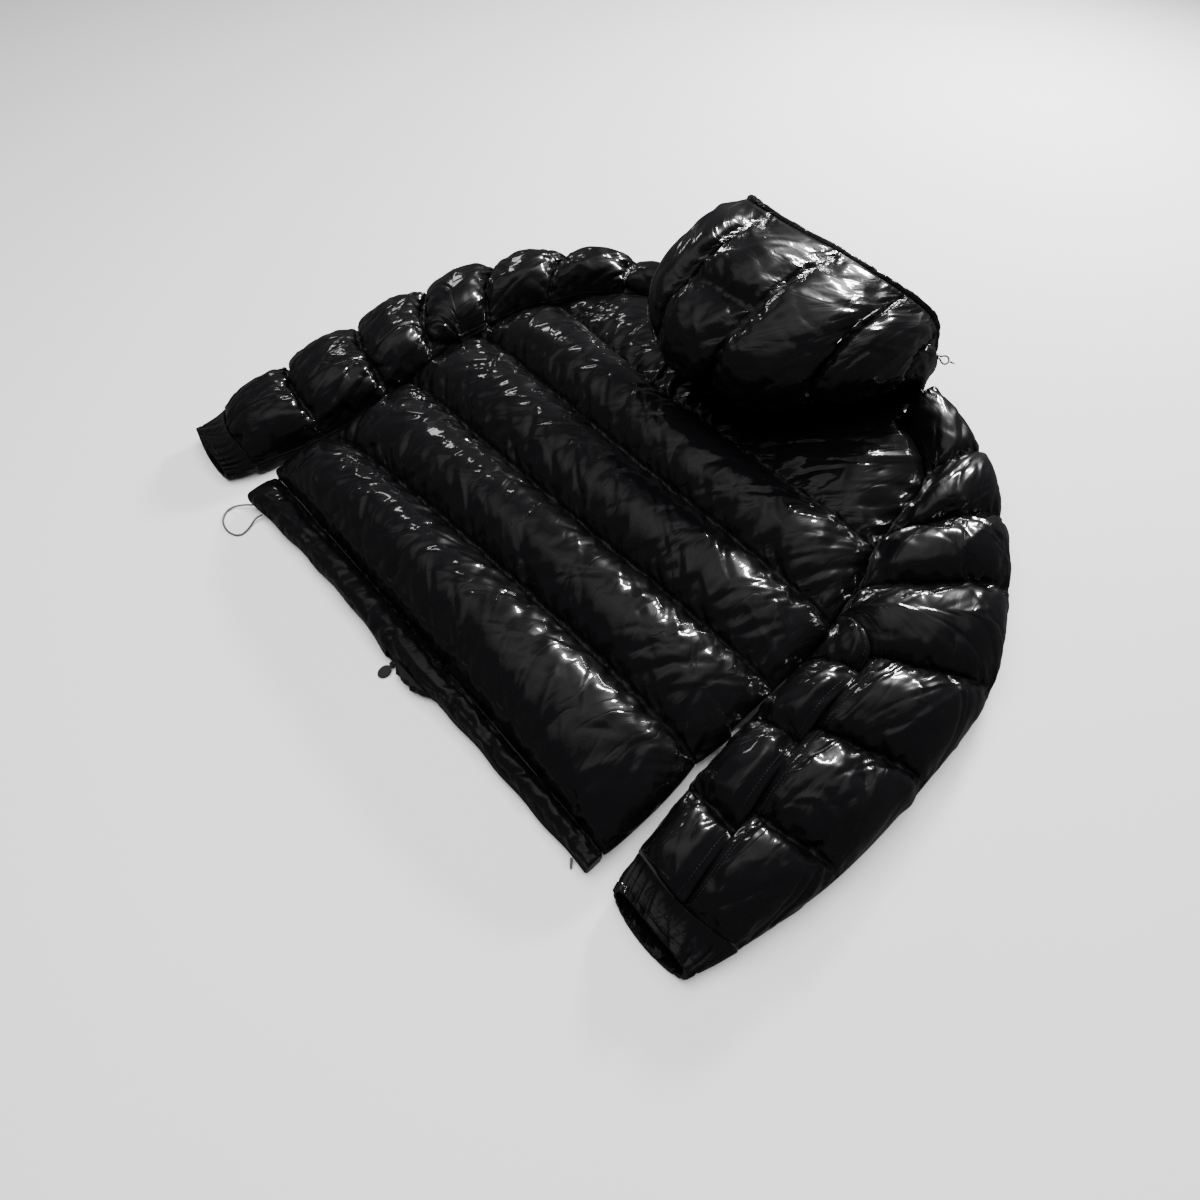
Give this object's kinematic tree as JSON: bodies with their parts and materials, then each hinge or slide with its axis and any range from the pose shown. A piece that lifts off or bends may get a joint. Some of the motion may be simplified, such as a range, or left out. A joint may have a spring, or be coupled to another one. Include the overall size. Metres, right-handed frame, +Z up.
{
  "type": "puffer jacket",
  "caption": "Hooded puffer jacket in glossy black nylon, lying face down with its back up, quilted across, with gathered cuffs and a hem band.",
  "frame": {"origin": "middle of the footprint, on the surface that the jacket lies on", "axes": "+Y up the spine from the hem to the hood, +X to the wearer's right sleeve, +Z up, out of the jacket's back"},
  "size_m": [0.9139, 0.7852, 0.2217],
  "materials": {
    "nylon": "gloss",
    "zip_tape": "woven",
    "plastic": "satin",
    "elastic": "braided"
  },
  "bodies": {
    "jacket": {"back_panel": "nylon", "front_left": "nylon", "front_right": "nylon", "hem_back": "nylon", "hem_front_left": "nylon", "hem_front_right": "nylon", "sleeve_left_back": "nylon", "sleeve_left_under": "nylon", "sleeve_left_front": "nylon", "sleeve_right_back": "nylon", "sleeve_right_under": "nylon", "sleeve_right_front": "nylon", "cuff_left": "nylon", "cuff_right": "nylon", "hood_side_right": "nylon", "hood_centre": "nylon", "hood_side_left": "nylon", "hood_rim": "nylon", "zip_tape_left": "zip_tape", "zip_tape_right": "zip_tape", "zip_chain": "plastic", "zip_slider": "plastic", "hem_cord": "elastic", "hem_cord_end": "elastic", "hood_cord": "elastic", "hood_cord_barrel": "plastic", "hood_cord_tip": "elastic"},
    "zip_pull": {"zip_pull": "plastic"}
  },
  "joints": [
    {"name": "zip_pull_swing", "type": "hinge", "parent": "jacket", "child": "zip_pull", "pos_m": [-0.0028, -0.363, 0.0045], "axis": [-1, 0, 0], "range_deg": [0, 60]}
  ]
}
